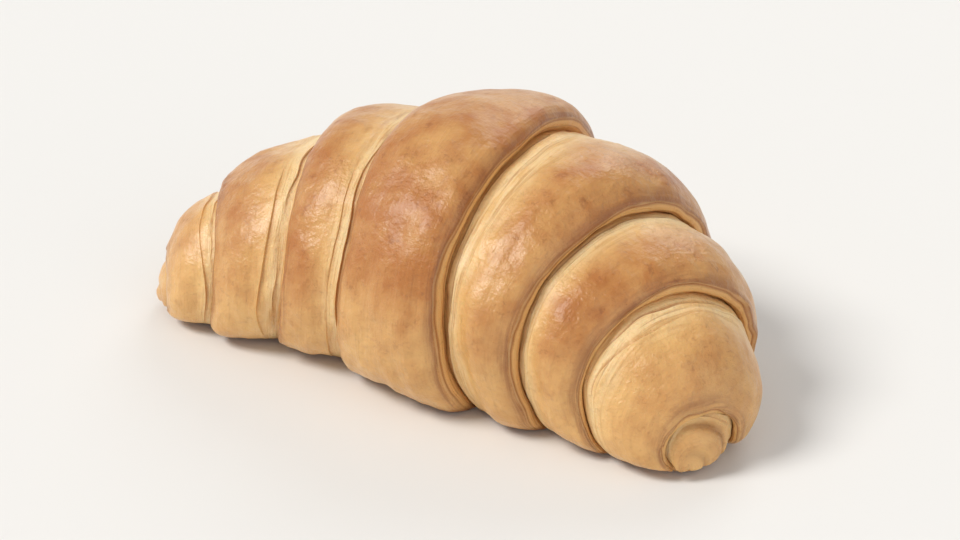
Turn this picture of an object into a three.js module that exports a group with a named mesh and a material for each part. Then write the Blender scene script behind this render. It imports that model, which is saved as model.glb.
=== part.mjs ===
// A croissant: one baked piece, rolled up from a long triangle of dough and bent into a crescent.
// Millimetres, +Z up. The origin is the middle of the footprint, on the flat base. X runs from tip
// to tip, the tips bend towards -Y, and the tail of the triangle is tucked under the base.

import * as THREE from "three";
import { mergeVertices } from "three/addons/utils/BufferGeometryUtils.js";

// Driving dimensions.
const LENGTH = 122; // tip to tip, along X
const WIDTH = 68; // across the crescent, along Y
const HEIGHT = 47; // base to the top of the middle lobe, along Z

// Shape of the roll before it is bent. It is then fitted to the three dimensions above. The left
// half, towards -X, is a little slimmer and straighter than the right half.
const SPINE_HALF_LENGTH = 60; // middle to tip, along the bent centre line
const SPINE_RADIUS = { left: 80, right: 70 }; // of the arcs that the centre line is bent to
const ROLL_RADIUS = 27; // of the dough under the lobes, at the middle
const TAPER_REACH = { left: 72.5, right: 75.5 }; // where the taper would bring that radius to nothing
const TIP_BLUNTNESS = 14; // the higher, the blunter the ends
const SQUAT = 0.94; // height of the roll's section over its width
const AXIS_HEIGHT = 0.66; // of the centre line above the base, in roll radii
const TIP_LIFT = 2; // how far the tips rise off the tray in baking
const BASE_ROUNDING = 1.6; // softens the edge between the base and the sides
const SWELL = 0.025; // uneven rising, as a share of the radius

// The dough's edge winds round the roll as a screw line, and a new lobe starts at each turn of it.
const TURNS = 4; // from the middle to each tip
const TURNS_EVENNESS = { left: 0.75, right: 0.81 }; // 1 spaces them evenly, less crowds them at the tips
const EDGE_TILT = 0.045; // how far the edge strays within a turn, in turns
const EDGE_WANDER = 0.07; // how far it strays from one turn to another
const WANDER_WAVE = 2.6; // radians of that straying in each turn
const BURIED = 0.1; // turns on each side of the base's middle where the lobes are pressed flat
const TIP_FADE = 0.12; // share of the outline, from a tip, over which the last crease fades out

// One lobe in section: a crowned top, then a nose that curls over the crease.
const LOBE_HEIGHT = 4.9; // of the middle lobe, above the creases beside it
const HEIGHT_LOSS = 0.55; // towards the tips: 0 is none, 1 is as much as the roll's radius loses
const NOSE_RADIUS = 3;
const NOSE_MOST = 0.24; // the most of a lobe's width that its nose takes
const NOSE_ARC = (140 * Math.PI) / 180;
const TOP_END = 0.6; // share of a lobe's faces that lie on its top, the rest are on its nose
const TOP_RISE = 2.2; // how soon a lobe's top levels out
const TOP_TUCK = 0.6; // how flat it starts, under the nose beside it: 0 rises at once, 1 starts level
const TIP_TUCK = 0.9; // the same, of the lobe at each tip
const MIDDLE_CROWN = 0.1; // extra height at the middle of the middle lobe
const TAIL_END = 0.45; // turn at which the thin tail of the dough, up the back, has its full thickness

// Mesh.
const FACES_PER_LOBE = 10;
const FACES_AROUND = 44;
const OUTLINE_STEPS = 400;

const TAU = 2 * Math.PI;
const { clamp, lerp, smoothstep } = THREE.MathUtils;

// The roll's outline from its middle to a tip, as a curve measured by length.
function rollOutline(side) {
  const points = [];
  for (let i = 0; i <= OUTLINE_STEPS; i++) {
    const distance = SPINE_HALF_LENGTH * Math.sin((TAU / 4) * (i / OUTLINE_STEPS));
    const taper = Math.cos((TAU / 4) * (distance / TAPER_REACH[side]));
    const cap = Math.sqrt(1 - (distance / SPINE_HALF_LENGTH) ** TIP_BLUNTNESS);
    points.push(new THREE.Vector3(distance, ROLL_RADIUS * taper * cap, 0));
  }
  const outline = new THREE.CatmullRomCurve3(points);
  outline.arcLengthDivisions = OUTLINE_STEPS;
  return outline;
}

const outlines = { left: rollOutline("left"), right: rollOutline("right") };

// Share of the outline, from the middle, at which a number of turns of the dough's edge is reached. It
// is the share for which even * share + crowding * share ** 2 equals turns / TURNS.
function shareAfter(turns, side) {
  const even = TURNS_EVENNESS[side];
  const crowding = 1 - even;
  return (Math.sqrt(even ** 2 + (4 * crowding * turns) / TURNS) - even) / (2 * crowding);
}

// 0 under the base, 1 on the sides and the top.
function hump(turn) {
  return smoothstep(Math.min(turn, 1 - turn), BURIED, 2 * BURIED);
}

// Where the crease at the inner side of a lobe crosses a turn, in turns of the edge from the middle.
// Under the base, where nothing shows, it goes back so that every row of faces closes on itself.
function creaseAt(lobe, turn, side) {
  if (lobe === 0) return 0;
  const pastBase = clamp(turn, BURIED, 1 - BURIED);
  const buriedShare = (turn - pastBase) / (2 * BURIED);
  const followed = pastBase - buriedShare * (1 - 2 * BURIED);
  const sign = side === "right" ? 1 : -1;
  const tilt = EDGE_TILT * Math.sin(TAU * turn + sign);
  const wander = EDGE_WANDER * Math.sin(WANDER_WAVE * (lobe + turn) + 1.4 * sign);
  return Math.min(lobe - 1 + followed + (tilt + wander) * hump(turn), TURNS);
}

// How a lobe's top rises from its crease, from 0 to 1.
function levelled(top, tuck) {
  return 1 - (1 - top) ** TOP_RISE * (1 + tuck * TOP_RISE * top);
}

// How far across a lobe, and how high, the crust is at a phase: 0 is the inner crease, or the middle
// of the middle lobe, and 1 is the outer crease. The results are shares of its width and its height.
// curl is 1 where the nose curls over the crease, and 0 where it is pressed flat.
function lobeSection(lobe, phase, width, curl) {
  if (lobe === TURNS) return [phase, levelled(phase, TIP_TUCK)]; // it has no nose

  const top = Math.min(phase / TOP_END, 1);
  const nose = Math.min(NOSE_RADIUS / width, NOSE_MOST);
  const bent = Math.max((phase - TOP_END) / (1 - TOP_END), 0);
  const angle = NOSE_ARC * bent;
  const across = top * (1 - nose) + nose * lerp(bent, Math.sin(angle) / Math.sin(NOSE_ARC), curl);
  const drop = (1 - Math.cos(angle)) / (1 - Math.cos(NOSE_ARC));
  const crown = 1 + MIDDLE_CROWN * (1 - top ** 2);
  return [across, (lobe === 0 ? crown : levelled(top, TOP_TUCK)) - drop];
}

// Uneven rising: one slow wave along the roll, and a lower one that winds round it. along runs from -1
// at the left tip to 1 at the right one.
function swelling(turn, along) {
  const lengthwise = Math.sin(5.3 * along + 0.4);
  const winding = 0.7 * Math.sin(TAU * turn + 4.1 * along + 1.7);
  return lengthwise + winding;
}

// A point of the crust. lobe counts from the middle to the tip of a side. turn runs from 0 under the
// base, up the back, over the top at 0.5, and down the front to 1.
function crustPoint(side, lobe, phase, turn) {
  const sign = side === "right" ? 1 : -1;
  const outline = outlines[side];
  const inner = shareAfter(creaseAt(lobe, turn, side), side);
  const outer = shareAfter(creaseAt(lobe + 1, turn, side), side);
  const width = (outer - inner) * outline.getLength();
  const fade = smoothstep(1 - (lobe === TURNS ? inner : outer), 0, TIP_FADE);
  const [across, rising] = lobeSection(lobe, phase, width, hump(turn) * fade);
  const share = clamp(lerp(inner, outer, across), 0, 1);
  const outlinePoint = outline.getPointAt(share);
  const tangent = outline.getTangentAt(share);
  const radius = Math.max(outlinePoint.y, 0);

  // The tail of the dough, at the back, is thin, and so is what closes over the tips.
  const thickness = lobe === 0 ? smoothstep(turn, 0, TAIL_END) : lobe === TURNS ? fade : 1;
  const height = LOBE_HEIGHT * (radius / ROLL_RADIUS) ** HEIGHT_LOSS * hump(turn) * thickness;
  const rise = height * rising + SWELL * radius * swelling(turn, sign * share);

  // The lobes rise square to the outline, so that they wrap round the blunt tips.
  const axial = sign * (outlinePoint.x - rise * tangent.y);
  const radial = radius + rise * tangent.x;
  const outward = radial * Math.sin(TAU * turn);
  const level = radius * SQUAT * AXIS_HEIGHT + TIP_LIFT * share ** 3;
  const up = level - radial * SQUAT * Math.cos(TAU * turn);

  const spine = SPINE_RADIUS[side];
  const bend = axial / spine;
  return new THREE.Vector3(
    (spine + outward) * Math.sin(bend),
    (spine + outward) * Math.cos(bend) - spine,
    restOnTray(up),
  );
}

// The tray holds the dough up: what would lie below it is flat, with a rounded edge.
function restOnTray(up) {
  if (up > BASE_ROUNDING) return up;
  if (up < -BASE_ROUNDING) return 0;
  return (up + BASE_ROUNDING) ** 2 / (4 * BASE_ROUNDING);
}

// A sphere's net of faces, with its poles at the two tips, is drawn over the crust. Its rows follow
// the creases.
function crustGeometry() {
  const rowsPerSide = (TURNS + 1) * FACES_PER_LOBE;
  const net = new THREE.SphereGeometry(1, FACES_AROUND, 2 * rowsPerSide);
  const { position, uv } = net.attributes;
  for (let i = 0; i < position.count; i++) {
    const row = Math.round((2 * uv.getY(i) - 1) * rowsPerSide);
    const lobe = Math.min(Math.floor(Math.abs(row) / FACES_PER_LOBE), TURNS);
    const phase = Math.abs(row) / FACES_PER_LOBE - lobe;
    const turn = uv.getX(i) - Math.floor(uv.getX(i));
    const point = crustPoint(row < 0 ? "left" : "right", lobe, phase, turn);
    position.setXYZ(i, point.x, point.y, point.z);
  }
  net.deleteAttribute("uv");
  net.deleteAttribute("normal");
  return mergeVertices(net);
}

// Brings the footprint's middle to the origin and the box to the driving dimensions.
function fitToSize(geometry) {
  geometry.computeBoundingBox();
  const { min, max } = geometry.boundingBox;
  geometry.translate(-(min.x + max.x) / 2, -(min.y + max.y) / 2, -min.z);
  geometry.scale(LENGTH / (max.x - min.x), WIDTH / (max.y - min.y), HEIGHT / (max.z - min.z));
  geometry.computeVertexNormals();
  return geometry;
}

const bakedDough = new THREE.MeshStandardMaterial({
  color: 0xcf9a5c,
  roughness: 0.45,
  metalness: 0,
});

const croissant = new THREE.Mesh(fitToSize(crustGeometry()), bakedDough);
croissant.name = "croissant";

const part = new THREE.Group();
part.add(croissant);

export default part;
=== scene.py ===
"""A bare croissant on a plain pale floor: the baked crust, its material, the lights and the camera.

The crust is drawn over one net of faces with a pole at each tip. Its rows follow the creases, where
one layer of dough ends on top of the next. Lengths are in millimetres until the crust is fitted to
the box of the CAD node that it replaces.

Four numbers say where a point of the crust is. side is the left or the right half. lobe counts from
the middle to the tip. phase runs across a lobe, from 0 at its inner crease, or at the middle of the
middle lobe, to 1 at its outer crease. turn runs round the roll, from 0 under the base, up the back,
over the top at 0.5, and down the front to 1.
"""

import math

import bpy
import numpy as np
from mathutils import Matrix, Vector, noise


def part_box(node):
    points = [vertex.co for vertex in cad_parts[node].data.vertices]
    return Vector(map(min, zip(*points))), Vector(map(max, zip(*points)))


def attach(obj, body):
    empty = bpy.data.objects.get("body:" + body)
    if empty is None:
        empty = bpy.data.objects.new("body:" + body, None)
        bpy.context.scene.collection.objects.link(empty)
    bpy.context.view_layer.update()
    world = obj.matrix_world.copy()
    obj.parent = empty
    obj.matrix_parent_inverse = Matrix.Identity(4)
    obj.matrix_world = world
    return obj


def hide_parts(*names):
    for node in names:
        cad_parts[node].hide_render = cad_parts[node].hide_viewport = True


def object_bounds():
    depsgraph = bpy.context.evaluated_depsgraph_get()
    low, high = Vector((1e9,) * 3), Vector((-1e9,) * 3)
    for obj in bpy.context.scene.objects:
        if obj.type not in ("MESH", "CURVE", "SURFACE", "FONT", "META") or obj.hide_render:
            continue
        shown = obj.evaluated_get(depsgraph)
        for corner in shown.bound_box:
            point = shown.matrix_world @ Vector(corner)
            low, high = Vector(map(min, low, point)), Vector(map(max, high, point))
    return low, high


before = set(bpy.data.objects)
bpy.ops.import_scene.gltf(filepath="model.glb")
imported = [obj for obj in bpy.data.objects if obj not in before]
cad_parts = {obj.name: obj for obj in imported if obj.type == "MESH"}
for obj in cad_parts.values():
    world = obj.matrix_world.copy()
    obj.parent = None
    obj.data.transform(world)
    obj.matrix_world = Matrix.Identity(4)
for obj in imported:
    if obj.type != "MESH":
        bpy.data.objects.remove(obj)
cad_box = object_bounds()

NODE = "croissant"
TAU = 2 * math.pi
LEFT, RIGHT = -1, 1  # the two halves, as signs of X

# Shape of the roll before it is bent, as in the CAD part.
SPINE_HALF_LENGTH = 60.0  # middle to tip, along the bent centre line
SPINE_RADIUS = {LEFT: 80.0, RIGHT: 70.0}  # of the arcs that the centre line is bent to
ROLL_RADIUS = 27.0  # of the dough under the lobes, at the middle
TAPER_REACH = {LEFT: 72.5, RIGHT: 75.5}  # where the taper would bring that radius to nothing
TIP_BLUNTNESS = 14  # the higher, the blunter the ends
SQUAT = 0.94  # height of the roll's section over its width
AXIS_HEIGHT = 0.66  # of the centre line above the base, in roll radii
TIP_LIFT = 2.0  # how far the tips rise off the tray in baking
BASE_ROUNDING = 1.6  # softens the edge between the base and the sides
SWELL = 0.025  # uneven rising, as a share of the radius

# The dough's edge winds round the roll, and a new lobe starts at each turn of it.
TURNS = 4  # from the middle to each tip
EVENNESS = {LEFT: 0.75, RIGHT: 0.81}  # 1 spaces them evenly, less crowds them at the tips
EDGE_TILT = 0.045  # how far the edge strays within a turn, in turns
EDGE_WANDER = 0.07  # how far it strays from one turn to another
EDGE_WOBBLE = 0.012  # finer straying of the edge, in turns
BURIED = 0.1  # turns on each side of the base's middle where the lobes are pressed flat
TIP_FADE = 0.12  # share of the outline, from a tip, over which the last crease fades out

# One lobe in section: a crowned top, then a nose that curls over the crease.
LOBE_HEIGHT = 4.9  # of the middle lobe, above the creases beside it
HEIGHT_LOSS = 0.55  # towards the tips: 0 is none, 1 is as much as the roll's radius loses
HEIGHT_STRAYS = 0.1  # how far a lobe's height strays along it, as a share
TAIL_END = 0.45  # turn at which the thin tail of the dough, up the back, has its full thickness
TOP_END = 0.6  # phase at which a lobe's top ends and its nose starts
NOSE_RADIUS = 3.0
NOSE_MOST = 0.24  # the most of a lobe's width that its nose takes
LEAST_WIDTH = 0.1  # of a lobe, so that its nose can be a share of it where lobes close up
NOSE_ARC = math.radians(140)
TOP_RISE = 2.2  # how soon a lobe's top levels out
TOP_TUCK = 0.6  # how flat it starts, under the nose beside it: 0 rises at once, 1 starts level
TIP_TUCK = 0.9  # the same, of the lobe at each tip
MIDDLE_CROWN = 0.1  # extra height at the middle of the middle lobe

# Layers of the dough, which end in small steps on the noses and beside the inner creases.
SKIN_END = 0.79  # phase at which the browned skin ends, on the nose
SKIN_STRAYS = 0.05  # how far that end strays, as a phase
TORN_SHARE = 0.3  # of that straying, where the skin is torn
TORN_RIPPLE = (-0.3, 0.9)  # from whole skin to torn skin, on the ripple that tears it
STRETCHED_END = 0.22  # phase up to which layers show where the dough was stretched, by the inner crease
STRETCHED_STRAYS = 0.06
NOSE_LAYERS = (0.0, 0.36, 0.7)  # edges of layers, as shares of the way from the skin's end to the crease
STRETCHED_LAYERS = (0.25, 0.58, 1.0)  # the same, as shares of the way from the crease
LAYER_STRAYS = 0.09  # how far they stray, as such a share
LAYER_STEP = 0.005  # the phase over which the crust steps at the edge of a layer
LAYER_STRENGTH = 0.6  # how much of such an edge shows, from 0 to 1
STRENGTH_STRAYS = 0.7  # how far that strays
STRETCHED_SEED = 4  # makes the ends of the stretched layers stray unlike those on the noses
NOSE_SEED = 7  # makes the strength of the layers on the noses stray unlike that of the stretched ones
LAYER_THICKNESS = 0.4
LAST_FADE = 0.3  # share of the rest of the top over which the last stretched layer thins out
HOLLOW_LEFT = 0.7  # share of the hollow at a layer's foot that is left at the next row
SKIN_LIFT = 0.45  # how far the skin curls up along its end, where it is torn
SKIN_CURL = 0.09  # the phase over which it curls up
NOSE_THINNING = 0.9  # of the layers towards the tips: 0 is none, 1 is as much as the roll's radius loses
TOP_THINNING = 0.3  # the same, for the layers by the inner creases
GROOVE_WIDTHS = (1.8, 0.72)  # from an inner crease, over which detail fades out under the nose beside it
GROOVE_PHASES = (0.84, 0.97)  # over which it fades out towards an outer crease

# Unevenness along the dough's edge: how far each kind goes on in each turn of the edge, in radians
# for the wander and along a ripple for the rest.
WANDER_WAVE = 2.6
WOBBLE_WAVE = 6.5
HEIGHT_WAVE = 1.7
TEARING_WAVE = 4.1
SKIN_WAVE = 5.3
TORN_WAVE = 19.0
STRETCHED_WAVE = 3.3
LAYER_WAVE = 9.0
STRENGTH_WAVE = 3.7

# Unevenness of the crust: how far apart the features of each kind are, and how high.
LUMP_SPACING = 15.0
LUMP_HEIGHT = 1.1
DENT_SPACING = 6.0
DENT_DEPTH = 0.5
GRIT_SPACING = 2.4
GRIT_HEIGHT = 0.14
SMOOTH_TIP = 0.3  # radius of the roll, as a share of the middle's, below which these three fade out
BLISTERS = 260
BLISTER_SEED = 7
BLISTER_RADIUS = (0.7, 2.2)
BLISTER_HEIGHT = (0.05, 0.24)
SPIRAL_PITCH = 3.4  # between the turns of the roll that show on its ends
SPIRAL_WIDTH = 0.13  # of the groove between them, as a share of the pitch
SPIRAL_DEPTH = 0.7
SPIRAL_PHASES = (0.15, 0.4)  # of the last lobe, over which the groove deepens towards the tip
SPIRAL_RADII = (0.5, 3.8)  # of the roll, over which it fades out towards the pole

# Browning, which the material shows.
LUMP_STRAYS = 0.05  # how far the tones stray across a lobe with the lumps, as a phase
DENT_STRAYS = 0.06  # the same, with the dents
BROWNING_PHASES = (0.1, 0.55)  # over which a lobe's top goes from pale to brown
BROWNING_HEIGHTS = (6, 30)  # above the tray, over which the browning rises to its full strength
LEAST_BROWNING = 0.35  # as a share of that, by the tray
TIP_BROWNING = 0.4  # at the two poles
PALE_PHASES = (0.34, 0.08)  # over which the stretched dough goes pale towards the inner crease
BOUNCE_UNDER_NOSE_PHASES = (0.16, 0.02)  # over which it is painted in the honey tone of the nose beside it, as painted warm light bounced off that nose
EDGE_PHASES = 0.13  # up to the skin's end, over which the skin is toasted
TRAY_HEIGHTS = (2.2, 0.4)  # over which the crust goes over to the brown of the base
DRAWN_OUT = 0.12  # radius of the way round the roll, where a lobe's width is 1, for drawn-out streaks

# Net of faces.
TOP_ROWS = (20, 15, 13, 10, 14)  # on the plain part of each lobe's top, from the middle to a tip
FADE_ROWS = 3  # where the last stretched layer thins out
NOSE_ROWS = 9  # on the skin of a nose
LAYER_ROWS = 3  # between two edges of layers
COLUMNS_UNDER = 24  # across the flat base
COLUMNS_OVER = 176  # over the rest
BASE_REACH = 0.12  # turns on each side of the base's middle with the coarse columns
POLE_REACH = 0.5  # from the last row to its pole, on the flat map of the crust
OUTLINE_STEPS = 3000
SHARP_EDGE = math.radians(45)


def clamp01(x):
    return np.clip(x, 0.0, 1.0)


def smooth(x, low, high):
    """0 below low, 1 above high, with an S-curve between them. low may be the greater."""
    t = clamp01((x - low) / (high - low))
    return t * t * (3 - 2 * t)


def ripple(x, seed):
    """Unevenness along a line that never repeats, mostly between -1 and 1."""
    slow = np.sin(2.1 * x + seed)
    middle = 0.7 * np.sin(4.7 * x + 2.3 * seed)
    fast = 0.45 * np.sin(9.2 * x + 3.1 * seed)
    return (slow + middle + fast) / 1.6


# ---- the roll ----


def roll_radius(distance, side):
    taper = np.cos(TAU / 4 * distance / TAPER_REACH[side])
    cap = np.sqrt(np.maximum(1 - (distance / SPINE_HALF_LENGTH) ** TIP_BLUNTNESS, 0))
    return ROLL_RADIUS * taper * cap


class Outline:
    """The roll's outline from its middle to a tip, by length along it."""

    def __init__(self, side):
        angle = np.linspace(0, TAU / 4, OUTLINE_STEPS)
        self.distance = SPINE_HALF_LENGTH * np.sin(angle)
        self.radius = roll_radius(self.distance, side)
        steps = np.hypot(np.diff(self.distance), np.diff(self.radius))
        self.length = np.concatenate(([0], np.cumsum(steps)))
        run = np.gradient(self.distance, self.length)
        fall = np.gradient(self.radius, self.length)
        scale = np.hypot(run, fall)
        self.run, self.fall = run / scale, fall / scale
        self.total = self.length[-1]

    def at(self, length):
        """Distance along the roll, its radius, and the outline's direction as run and fall."""
        tables = (self.distance, self.radius, self.run, self.fall)
        return [np.interp(length, self.length, table) for table in tables]


outlines = {side: Outline(side) for side in (LEFT, RIGHT)}


def length_after(turns, side):
    """Length along the outline at which a number of turns of the dough's edge is reached."""
    even = EVENNESS[side]
    crowding = 1 - even
    share = (np.sqrt(even**2 + 4 * crowding * turns / TURNS) - even) / (2 * crowding)
    return outlines[side].total * clamp01(share)


def hump(turn):
    """0 under the base, 1 on the sides and the top."""
    return smooth(np.minimum(turn, 1 - turn), BURIED, 2 * BURIED)


def crease_at(lobe, turn, side):
    """Turns of the edge from the middle to the crease at a lobe's inner side.

    Under the base, where nothing shows, it goes back so that every row closes on itself.
    """
    if lobe == 0:
        return np.zeros_like(turn)
    past_base = np.clip(turn, BURIED, 1 - BURIED)
    buried_share = (turn - past_base) / (2 * BURIED)
    followed = past_base - buried_share * (1 - 2 * BURIED)
    windings = lobe + turn
    tilt = EDGE_TILT * np.sin(TAU * turn + side)
    wander = EDGE_WANDER * np.sin(WANDER_WAVE * windings + 1.4 * side)
    wobble = EDGE_WOBBLE * ripple(WOBBLE_WAVE * windings, 1.7 * side)
    return np.minimum(lobe - 1 + followed + (tilt + wander + wobble) * hump(turn), TURNS)


# ---- one lobe in section ----


def levelled(top, tuck):
    """How a lobe's top rises from its crease, from 0 to 1."""
    return 1 - (1 - top) ** TOP_RISE * (1 + tuck * TOP_RISE * top)


def lobe_section(lobe, phase, width, curl):
    """The crust's place on a lobe at a phase: how far across it and how high, both as shares.

    curl is 1 where the nose curls over the crease, and 0 where it is pressed flat.
    """
    if lobe == TURNS:  # it closes over the tip and has no nose
        return phase, levelled(phase, TIP_TUCK)
    nose = np.minimum(NOSE_RADIUS / np.maximum(width, LEAST_WIDTH), NOSE_MOST)
    top = clamp01(phase / TOP_END)
    bent = clamp01((phase - TOP_END) / (1 - TOP_END))
    angle = NOSE_ARC * bent
    reach = curl * np.sin(angle) / math.sin(NOSE_ARC) + (1 - curl) * bent
    rise = 1 + MIDDLE_CROWN * (1 - top**2) if lobe == 0 else levelled(top, TOP_TUCK)
    drop = (1 - np.cos(angle)) / (1 - math.cos(NOSE_ARC))
    return top * (1 - nose) + nose * reach, rise - drop


# ---- the layers and the rows that follow them ----


def tearing(windings, side):
    """How torn the end of the skin is, from 0 to 1."""
    return smooth(ripple(TEARING_WAVE * windings, 0.7 * side), *TORN_RIPPLE)


def layer_edges(lobe, turn, side):
    """The phases at which layers end, on the stretched dough by a lobe's inner crease and on its nose."""
    windings = lobe + turn
    slow = ripple(SKIN_WAVE * windings, 2.9 * side)
    torn = tearing(windings, side) * ripple(TORN_WAVE * windings, 1.3 * side)
    skin_end = SKIN_END + SKIN_STRAYS * ((1 - TORN_SHARE) * slow + TORN_SHARE * torn)
    stretched_end = STRETCHED_END + STRETCHED_STRAYS * ripple(STRETCHED_WAVE * windings, 4.2 * side)

    def strayed(share, seed):
        free = 4 * share * (1 - share)  # the first and the last layer follow the end itself
        return share + LAYER_STRAYS * free * ripple(LAYER_WAVE * windings + 2.2 * seed, 1.9 * side)

    stretched, on_nose = [], []
    for layer, share in enumerate(STRETCHED_LAYERS):
        stretched.append(stretched_end * strayed(share, layer + STRETCHED_SEED))
    for layer, share in enumerate(NOSE_LAYERS):
        on_nose.append(skin_end + (1 - skin_end) * strayed(share, layer))
    return stretched, on_nose


class Rows:
    """Some rows of the net, on one lobe of one side. around holds the turns of their points."""

    def __init__(self, side, lobe, around):
        self.side, self.lobe, self.around = side, lobe, around
        self.stretched, self.on_nose = layer_edges(lobe, around, side)
        self.phases, self.steps, self.lines = [], [], []
        if lobe == 0:
            self.ramp(0, TOP_END, TOP_ROWS[0])
        else:
            self.lay_top()
        if lobe < TURNS:
            self.lay_nose()

    def row(self, phase, step, line=0.0):
        """A row at a phase.

        step is how far the crust stands above the plain lobe there, in layers. line is 1 where the
        edge of a layer shades it.
        """
        self.phases.append(phase + 0 * self.around)
        self.steps.append(step + 0 * self.around)
        self.lines.append(line + 0 * self.around)

    def ramp(self, start, end, rows, step_from=0.0, step_to=0.0):
        """Even rows from one phase up to another, which is left to the row that comes next."""
        for row in range(rows):
            share = row / rows
            self.row(start + (end - start) * share, step_from + (step_to - step_from) * share)

    def lay_top(self):
        """Rows over the stretched layers by the inner crease, and on over the top."""
        start, step = 0, 0
        for layer, edge in enumerate(self.stretched):
            self.ramp(start, edge, LAYER_ROWS, step, 0)
            step = self.strength(layer)
            self.row(edge, 0, step)
            start = edge + LAYER_STEP
        faded = start + LAST_FADE * (TOP_END - start)
        self.ramp(start, faded, FADE_ROWS, step, 0)
        self.ramp(faded, 1 if self.lobe == TURNS else TOP_END, TOP_ROWS[self.lobe])

    def lay_nose(self):
        """Rows over the skin of the nose, and on over the layers that show past its end."""
        self.ramp(TOP_END, self.on_nose[0], NOSE_ROWS)
        ends = self.on_nose[1:] + [1]
        for layer, (edge, end) in enumerate(zip(self.on_nose, ends)):
            strength = 1 if layer == 0 else self.strength(layer + NOSE_SEED)
            foot = edge + LAYER_STEP
            self.row(edge, 0)
            self.row(foot, -strength, strength)
            self.ramp(foot + (end - foot) / LAYER_ROWS, end, LAYER_ROWS - 1, -HOLLOW_LEFT * strength, 0)

    def strength(self, seed):
        """How much of a layer's edge shows along it, from 0 to 1."""
        windings = self.lobe + self.around
        strays = ripple(STRENGTH_WAVE * windings + 1.9 * seed, 2.6 * self.side)
        return clamp01(LAYER_STRENGTH + STRENGTH_STRAYS * strays)

    def values(self):
        """What is known at each point of the rows, as arrays of row by column."""
        side, lobe = self.side, self.lobe
        outline = outlines[side]
        phase = np.array(self.phases)
        turn = self.around + 0 * phase
        inner = length_after(crease_at(lobe, turn, side), side)
        outer = length_after(crease_at(lobe + 1, turn, side), side)
        last_crease = inner if lobe == TURNS else outer
        fade = smooth(1 - last_crease / outline.total, 0, TIP_FADE)
        across, height = lobe_section(lobe, phase, outer - inner, hump(turn) * fade)
        from_crease = across * (outer - inner)
        length = np.minimum(inner + from_crease, outline.total)
        distance, radius, run, fall = outline.at(length)
        return {
            "side": np.full_like(phase, side),
            "lobe": np.full_like(phase, lobe),
            "phase": phase,
            "turn": turn,
            "past_skin": phase - self.on_nose[0],
            "step": np.array(self.steps),
            "line": np.array(self.lines),
            "fade": fade,
            "height": height,
            "from_crease": from_crease,
            "distance": distance,
            "radius": radius,
            "run": run,
            "fall": fall,
            "share": length / outline.total,
        }


def crust_rows(around):
    """What is known at each point from the left tip to the right one, without the poles."""
    left, right = (
        [Rows(side, lobe, around).values() for lobe in range(TURNS + 1)] for side in (LEFT, RIGHT)
    )
    rows = {}
    for name in right[0]:
        outward = np.concatenate([values[name] for values in right])
        inward = np.concatenate([values[name] for values in left])[:0:-1]  # the middle row is in outward
        rows[name] = np.concatenate((inward, outward))
    return rows


def columns():
    """The turns at which the net has a column."""
    up_the_back = np.linspace(0, BASE_REACH, COLUMNS_UNDER // 2, endpoint=False)
    over = np.linspace(BASE_REACH, 1 - BASE_REACH, COLUMNS_OVER, endpoint=False)
    down_the_front = np.linspace(1 - BASE_REACH, 1, COLUMNS_UNDER // 2, endpoint=False)
    return np.concatenate((up_the_back, over, down_the_front))


# ---- the crust's shape ----


def field(places, spacing, seed):
    """Perlin noise at places, with features of about the spacing."""
    offset = Vector((seed * 17.3, seed * 5.1, seed * 9.7))
    flat = (places / spacing).reshape(-1, 3)
    values = [noise.noise(Vector(place) + offset) for place in flat.tolist()]
    return np.array(values).reshape(places.shape[:-1])


def blisters(places):
    """Low round bumps where steam lifted the skin, at random places."""
    chance = np.random.default_rng(BLISTER_SEED)
    flat = places.reshape(-1, 3)
    bumps = np.zeros(len(flat))
    for centre in flat[chance.integers(0, len(flat), BLISTERS)]:
        reach = chance.uniform(*BLISTER_RADIUS)
        height = chance.uniform(*BLISTER_HEIGHT)
        bumps += height * np.exp(-(((flat - centre) / reach) ** 2).sum(axis=1))
    return bumps.reshape(places.shape[:-1])


def swelling(turn, along):
    """Uneven rising: a slow wave along the roll, from -1 to 1, and a lower one that winds round it."""
    lengthwise = np.sin(5.3 * along + 0.4)
    winding = 0.7 * np.sin(TAU * turn + 4.1 * along + 1.7)
    return lengthwise + winding


def rest_on_tray(up):
    """The tray holds the dough up: what would lie below it is flat, with a rounded edge."""
    rounded = (up + BASE_ROUNDING) ** 2 / (4 * BASE_ROUNDING)
    return np.where(up > BASE_ROUNDING, up, np.where(up < -BASE_ROUNDING, 0, rounded))


rows = crust_rows(columns())
side, lobe, phase, turn = (rows[name] for name in ("side", "lobe", "phase", "turn"))
distance, radius, share = (rows[name] for name in ("distance", "radius", "share"))
past_skin = rows["past_skin"]
at_tip, at_middle = lobe == TURNS, lobe == 0
shown = hump(turn)
size = radius / ROLL_RADIUS
windings = lobe + turn

# Where a point is before the roll is bent, for even noise.
straight = (side * distance, radius * np.sin(TAU * turn), -radius * np.cos(TAU * turn))
straight = np.stack(straight, axis=-1)
lumps = field(straight, LUMP_SPACING, 1)
dents = field(straight, DENT_SPACING, 2)
grit = field(straight, GRIT_SPACING, 3)
strayed = phase + LUMP_STRAYS * lumps + DENT_STRAYS * dents

# Masks from 0 to 1. seam is pale dough, and goes on across the crease, where the phase jumps.
face_of_nose = smooth(past_skin, 0, LAYER_STEP) * ~at_tip
seam = np.maximum(smooth(strayed, *PALE_PHASES) * ~at_middle, face_of_nose)
by_inner_crease = smooth(rows["from_crease"], *GROOVE_WIDTHS) * (phase < TOP_END) * ~at_middle
by_outer_crease = smooth(phase, *GROOVE_PHASES) * ~at_tip
in_groove = np.maximum(by_inner_crease, by_outer_crease)
lifted = smooth(past_skin, -SKIN_CURL, 0) * (past_skin <= 0) * tearing(windings, side) * ~at_tip

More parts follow.
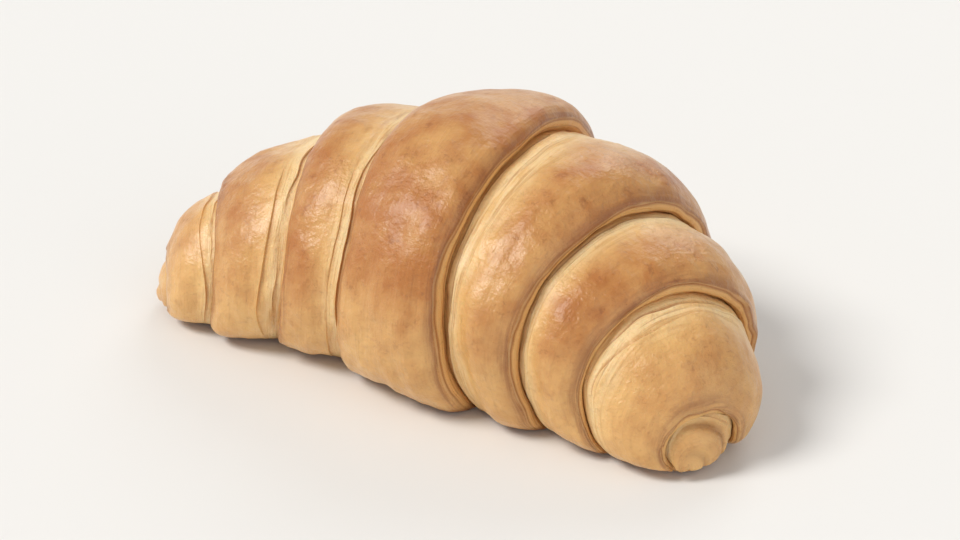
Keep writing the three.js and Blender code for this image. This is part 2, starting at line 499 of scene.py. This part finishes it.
# The turns of the roll on its ends: a groove that goes in by one pitch in each turn.
from_groove = np.mod(radius / SPIRAL_PITCH + turn, 1.0)
from_groove = np.minimum(from_groove, 1 - from_groove)
spiral = np.exp(-((from_groove / SPIRAL_WIDTH) ** 2)) * at_tip
spiral *= smooth(phase, *SPIRAL_PHASES) * smooth(radius, *SPIRAL_RADII)

# How far the crust rises above the plain roll: lobes, swelling, unevenness, layers and blisters.
height_along = 1 + HEIGHT_STRAYS * ripple(HEIGHT_WAVE * windings, side)
thickness = np.where(at_middle, smooth(turn, 0, TAIL_END), height_along)
thickness *= np.where(at_tip, rows["fade"], 1)
rise = LOBE_HEIGHT * size**HEIGHT_LOSS * shown * thickness * rows["height"]
rise += SWELL * radius * swelling(turn, side * share)
unevenness = LUMP_HEIGHT * lumps + DENT_DEPTH * dents + GRIT_HEIGHT * grit
rise += unevenness * smooth(size, 0, SMOOTH_TIP)
thinning = size ** np.where(face_of_nose > 0, NOSE_THINNING, TOP_THINNING)
fine = (LAYER_THICKNESS * rows["step"] + SKIN_LIFT * lifted) * thinning - SPIRAL_DEPTH * spiral
rise += fine * shown * (1 - in_groove)
rise += blisters(straight) * (1 - seam) * shown

# The rise is square to the outline, and the roll is bent to its arcs and laid on the tray.
axial = side * (distance - rise * rows["fall"])
radial = radius + rise * rows["run"]
outward = radial * np.sin(TAU * turn)
level = radius * SQUAT * AXIS_HEIGHT + TIP_LIFT * share**3
up = rest_on_tray(level - radial * SQUAT * np.cos(TAU * turn))
spine = np.where(side == LEFT, SPINE_RADIUS[LEFT], SPINE_RADIUS[RIGHT])
bend = axial / spine
points = ((spine + outward) * np.sin(bend), (spine + outward) * np.cos(bend) - spine, up)
points = np.stack(points, axis=-1)


# ---- the crust's mesh ----


def fit_to_box(places, low, high):
    """Scales places to a box."""
    low, high = np.array(low), np.array(high)
    lowest, highest = places.min(axis=0), places.max(axis=0)
    return low + (places - lowest) * (high - low) / (highest - lowest)


row_count, column_count = turn.shape


def net_corners():
    """The corners of each face, facing out, as rows and columns of the net. Each pole is a row of its own."""
    corners = []
    for row in range(row_count - 1):
        for column in range(column_count):
            across, down = column + 1, row + 1
            corners.append([(row, column), (row, across), (down, across), (down, column)])
    for column in range(column_count):
        corners.append([(-1, column), (0, column + 1), (0, column)])
        corners.append([(row_count, column), (row_count - 1, column), (row_count - 1, column + 1)])
    return corners


def vertex(row, column):
    """The number of a corner's vertex. The two poles come last."""
    if row in (-1, row_count):
        return row_count * column_count + (row > 0)
    return row * column_count + column % column_count


def map_places(corners):
    """Places on a flat map for the corners, about as far apart on it as they are on the crust."""
    around = np.linalg.norm(np.diff(points, axis=1, append=points[:, :1]), axis=2).mean(axis=0)
    lengthwise = np.linalg.norm(np.diff(points, axis=0), axis=2).mean(axis=1)
    at_column = np.concatenate(([0], np.cumsum(around))) / around.sum()
    at_row = np.cumsum(np.concatenate(([0, POLE_REACH], lengthwise, [POLE_REACH])))
    at_row /= at_row[-1]
    return [(at_column[column], at_row[row + 1]) for face in corners for row, column in face]


tips = [points[0].mean(axis=0), points[-1].mean(axis=0)]  # the poles, which the rows close on
vertices = fit_to_box(np.concatenate((points.reshape(-1, 3), tips)), *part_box(NODE))
corners = net_corners()
crust_mesh = bpy.data.meshes.new("crust")
crust_mesh.from_pydata(vertices.tolist(), [], [[vertex(*corner) for corner in face] for face in corners])
crust_mesh.shade_smooth()
crust_mesh.set_sharp_from_angle(angle=SHARP_EDGE)
crust_map = crust_mesh.uv_layers.new(name="OFBake")
crust_map.uv.foreach_set("vector", np.array(map_places(corners)).ravel())


def paint(name, values, at_poles=0.0):
    """Stores a number at each point of the crust, for the material."""
    data = crust_mesh.attributes.new(name, "FLOAT", "POINT").data
    data.foreach_set("value", np.concatenate((values.ravel(), [at_poles, at_poles])))


browning = np.where(at_middle, 1.0, smooth(strayed, *BROWNING_PHASES))
browning *= LEAST_BROWNING + (1 - LEAST_BROWNING) * smooth(up, *BROWNING_HEIGHTS)
toasted_edge = smooth(past_skin, -EDGE_PHASES, 0) * (1 - face_of_nose) * ~at_tip
# Painted warm bounce light: the strip under each nose, by the inner crease, is painted towards the nose's
# honey tone, as light bounced off the nose would warm it.
painted_bounce_under_nose = smooth(phase, *BOUNCE_UNDER_NOSE_PHASES) * ~at_middle
paint("seam", seam * shown)
paint("brown", browning, TIP_BROWNING)
paint("edge", toasted_edge * shown)
# face holds the honey tone of the noses' faces, and the painted warm bounce light in the strip under each
# nose.
paint("face", np.where(phase < TOP_END, painted_bounce_under_nose, face_of_nose))
paint("lines", rows["line"] * shown)
# spiral also carries the painted shade in the groove on the ends.
paint("spiral", spiral)
paint("tray", smooth(up, *TRAY_HEIGHTS))

# A place that moves by 1 across each lobe and only a little round the roll, so that noise at it is
# drawn out along the lobes.
reach_round = DRAWN_OUT * size
on_roll = (reach_round * np.sin(TAU * turn), reach_round * np.cos(TAU * turn), side * (lobe + phase))
on_roll = np.stack(on_roll, axis=-1).reshape(-1, 3)
at_poles = [(0, 0, side * (TURNS + 1)) for side in (LEFT, RIGHT)]
roll_data = crust_mesh.attributes.new("roll", "FLOAT_VECTOR", "POINT").data
roll_data.foreach_set("vector", np.concatenate((on_roll, at_poles)).ravel())

crust = bpy.data.objects.new("crust", crust_mesh)
bpy.context.scene.collection.objects.link(crust)
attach(crust, "root")
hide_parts(NODE)


# ---- camera, floor and lights, in metres and degrees ----

CAMERA_AZIMUTH = 30
CAMERA_ELEVATION = 28
CAMERA_DISTANCE = 0.42
AIM_HEIGHT = 0.3  # of the place that the camera looks at, as a share of the croissant's height
LENS = 85  # in millimetres, as is the sensor's width
SENSOR_WIDTH = 36
FLOOR_RADIUS = 4.0
FLOOR_SIDES = 96
FLOOR_DROP = 0.0001  # from the base, so that the two don't share a plane
GLOW_AT_HORIZON = 0.94
GLOW_ABOVE = 0.4
GLOW_REACH = 0.4  # sine of the elevation above which the sky is even


def direction_to(azimuth, elevation):
    """The direction from the croissant to a place. Azimuth 0 is the front."""
    around, above = math.radians(azimuth), math.radians(elevation)
    flat = math.cos(above)
    return Vector((math.sin(around) * flat, -math.cos(around) * flat, math.sin(above)))


low, high = cad_box
aim = Vector(((low.x + high.x) / 2, (low.y + high.y) / 2, high.z * AIM_HEIGHT))
back = direction_to(CAMERA_AZIMUTH, CAMERA_ELEVATION)
camera = bpy.data.objects.new("camera", bpy.data.cameras.new("camera"))
camera.data.lens = LENS
camera.data.sensor_width = SENSOR_WIDTH
camera.location = aim + back * CAMERA_DISTANCE
camera.rotation_mode = "QUATERNION"
camera.rotation_quaternion = (-back).to_track_quat("-Z", "Y")
bpy.context.scene.collection.objects.link(camera)
bpy.context.scene.camera = camera

rim = []
for corner in range(FLOOR_SIDES):
    angle = TAU * corner / FLOOR_SIDES
    rim.append((FLOOR_RADIUS * math.cos(angle), FLOOR_RADIUS * math.sin(angle), 0))
floor_mesh = bpy.data.meshes.new("floor")
floor_mesh.from_pydata(rim, [], [tuple(range(FLOOR_SIDES))])
floor = bpy.data.objects.new("floor", floor_mesh)
floor.location.z = low.z - FLOOR_DROP
bpy.context.scene.collection.objects.link(floor)

floor_material = bpy.data.materials.new("floor")
floor_material.use_nodes = True
floor_shader = floor_material.node_tree.nodes["Principled BSDF"]
floor_shader.inputs["Base Color"].default_value = (0.8, 0.8, 0.79, 1)
floor_shader.inputs["Roughness"].default_value = 0.85
floor_mesh.materials.append(floor_material)

world = bpy.data.worlds.new("studio")
bpy.context.scene.world = world
world.use_nodes = True
sky = world.node_tree
direction = sky.nodes.new("ShaderNodeTexCoord")
split = sky.nodes.new("ShaderNodeSeparateXYZ")
glow = sky.nodes.new("ShaderNodeMapRange")
glow.interpolation_type = "SMOOTHSTEP"
glow.inputs["From Max"].default_value = GLOW_REACH
glow.inputs["To Min"].default_value = GLOW_AT_HORIZON
glow.inputs["To Max"].default_value = GLOW_ABOVE
sky.links.new(direction.outputs["Generated"], split.inputs[0])
sky.links.new(split.outputs["Z"], glow.inputs["Value"])
sky.links.new(glow.outputs["Result"], sky.nodes["Background"].inputs["Strength"])
sky.nodes["Background"].inputs["Color"].default_value = (1.0, 0.99, 0.975, 1)
bpy.context.scene.view_settings.view_transform = "Standard"


def lamp(name, azimuth, elevation, strength, breadth, tint):
    """A broad, even light from a direction. Azimuth 0 is the front."""
    light = bpy.data.lights.new(name, "SUN")
    light.energy = strength
    light.angle = math.radians(breadth)
    light.color = tint
    made = bpy.data.objects.new(name, light)
    made.rotation_mode = "QUATERNION"
    made.rotation_quaternion = direction_to(azimuth, elevation).to_track_quat("Z", "Y")
    bpy.context.scene.collection.objects.link(made)


lamp("key", azimuth=-50, elevation=48, strength=2.3, breadth=24, tint=(1.0, 0.965, 0.92))
lamp("fill", azimuth=70, elevation=30, strength=0.5, breadth=60, tint=(1.0, 0.98, 0.96))
lamp("rim", azimuth=190, elevation=35, strength=0.6, breadth=30, tint=(1.0, 1.0, 1.0))


# ---- the crust's material ----


def colour(red, green, blue):
    """A screen colour, each part from 0 to 255, as Blender's linear colour."""
    parts = [part / 255 for part in (red, green, blue)]
    return [p / 12.92 if p <= 0.04045 else ((p + 0.055) / 1.055) ** 2.4 for p in parts] + [1.0]


GOLD = colour(229, 183, 116)
BROWN = colour(179, 113, 50)
TOASTED = colour(141, 81, 32)
CREAM = colour(241, 213, 162)
HONEY = colour(229, 176, 107)
SHADE = colour(168, 108, 54)
TRAY_BROWN = colour(170, 112, 58)

WRINKLE_DEPTH = 0.0005  # of the crust, in metres
GLAZE_WRINKLE_DEPTH = 0.00012  # of the thin gloss over it, which evens the wrinkles out

crust_material = bpy.data.materials.new("crust")
crust_material.use_nodes = True
tree = crust_material.node_tree
shader = tree.nodes["Principled BSDF"]


def feed(socket, value):
    """Gives a socket another node's output or a value. None leaves it as it is."""
    if isinstance(value, bpy.types.NodeSocket):
        tree.links.new(value, socket)
    elif value is not None:
        socket.default_value = value


def node(kind, *inputs, output=0, **settings):
    """Adds a node, with its inputs in order as values or other nodes' outputs, and returns an output."""
    made = tree.nodes.new("ShaderNode" + kind)
    for name, value in settings.items():
        setattr(made, name, value)
    for socket, value in zip(made.inputs, inputs):
        feed(socket, value)
    return made.outputs[output]


def attribute(name, output="Fac"):
    return node("Attribute", output=output, attribute_name=name)


def added(first, second, clamp=False):
    return node("Math", first, second, operation="ADD", use_clamp=clamp)


def times(first, second):
    return node("Math", first, second, operation="MULTIPLY")


def stretch(value, low, high, to_low=0.0, to_high=1.0):
    """Maps low to high onto to_low to to_high with an S-curve, and no further."""
    return node("MapRange", value, low, high, to_low, to_high, interpolation_type="SMOOTHSTEP")


def blend(factor, first, second):
    """A colour between two others."""
    made = tree.nodes.new("ShaderNodeMix")
    made.data_type = "RGBA"
    sockets = {socket.identifier: socket for socket in made.inputs}
    feed(sockets["Factor_Float"], factor)
    feed(sockets["A_Color"], first)
    feed(sockets["B_Color"], second)
    return next(socket for socket in made.outputs if socket.identifier == "Result_Color")


def noisy(place, scale, detail=2.0, roughness=0.5):
    """Noise with a number of features per metre of the place, or per lobe of the place on the roll."""
    unused_dimension = None
    return node("TexNoise", place, unused_dimension, scale, detail, roughness)


def normal(relief, depth):
    """A normal for a relief between 0 and 1 that is a depth in metres."""
    full_strength, usual_filter = 1.0, None
    return node("Bump", full_strength, depth, usual_filter, relief)


place = node("TexCoord", output="Object")
roll = attribute("roll", "Vector")
mottle = noisy(place, scale=230, detail=3, roughness=0.6)
speckle = noisy(place, scale=1100, detail=3, roughness=0.6)
streaks = noisy(roll, scale=26, detail=5, roughness=0.6)
seam_here = attribute("seam")
drawn = stretch(seam_here, 0.0, 0.7, 0.35, 1.0)  # how much the streaks show


def browned_skin():
    """Gold to brown in soft clouds, with freckles, streaks and a toasted edge over the nose."""
    brown_here = attribute("brown")
    clouds = noisy(place, scale=55, detail=3)
    browned = times(brown_here, stretch(clouds, 0.32, 0.68, 0.58, 1.0))
    browned = added(browned, stretch(mottle, 0.3, 0.75, -0.14, 0.17), clamp=True)
    tone = blend(browned, GOLD, BROWN)
    freckles = stretch(noisy(place, scale=700, detail=3, roughness=0.6), 0.57, 0.66)
    freckles = times(times(freckles, stretch(mottle, 0.42, 0.6)), brown_here)
    tone = blend(times(freckles, 0.4), tone, TOASTED)
    tone = blend(times(stretch(streaks, 0.5, 0.72, 0.0, 0.35), drawn), tone, TOASTED)
    return blend(times(attribute("edge"), stretch(streaks, 0.35, 0.6, 0.15, 0.75)), tone, TOASTED)


def pale_dough():
    """Cream with the long lines of the layers, honey on the noses, painted warm bounce light in the strip
    under each nose, and painted shade under the layers' edges.
    """
    further_drawn_out = node("VectorMath", roll, (0.3, 0.3, 1.0), operation="MULTIPLY")
    laminae = noisy(further_drawn_out, scale=60, detail=3, roughness=0.55)
    tone = blend(stretch(streaks, 0.45, 0.65, 0.0, 0.8), CREAM, GOLD)
    tone = blend(stretch(laminae, 0.55, 0.64, 0.0, 0.45), tone, SHADE)
    # Honey on the noses' faces, and painted warm bounce light in the strip under each nose.
    tone = blend(attribute("face"), tone, HONEY)
    return blend(attribute("lines"), tone, SHADE)


tray_here = attribute("tray")
underside = blend(stretch(mottle, 0.35, 0.65, 0.0, 0.7), TRAY_BROWN, TOASTED)
tone = blend(seam_here, browned_skin(), pale_dough())
# Painted shade: the spiral groove on the ends is painted darker, in the toasted tone.
tone = blend(times(attribute("spiral"), 0.6), tone, TOASTED)
tone = blend(tray_here, tone, underside)
tone = blend(stretch(speckle, 0.55, 0.8, 0.0, 0.25), tone, TOASTED)

roughness = stretch(seam_here, 0.0, 1.0, 0.36, 0.6)
roughness = added(roughness, stretch(mottle, 0.3, 0.7, -0.06, 0.1))
roughness = added(roughness, times(tray_here, 0.25), clamp=True)

relief = added(times(streaks, drawn), noisy(place, scale=420, detail=4, roughness=0.6))
relief = added(relief, times(speckle, 0.35))

tree.links.new(tone, shader.inputs["Base Color"])
tree.links.new(roughness, shader.inputs["Roughness"])
tree.links.new(normal(relief, WRINKLE_DEPTH), shader.inputs["Normal"])
tree.links.new(normal(relief, GLAZE_WRINKLE_DEPTH), shader.inputs["Coat Normal"])
shader.inputs["Coat Weight"].default_value = 0.3
shader.inputs["Coat Roughness"].default_value = 0.3
shader.inputs["Subsurface Weight"].default_value = 0.18
shader.inputs["Subsurface Scale"].default_value = 0.003
shader.inputs["Subsurface Radius"].default_value = (1.0, 0.5, 0.22)
crust_mesh.materials.append(crust_material)
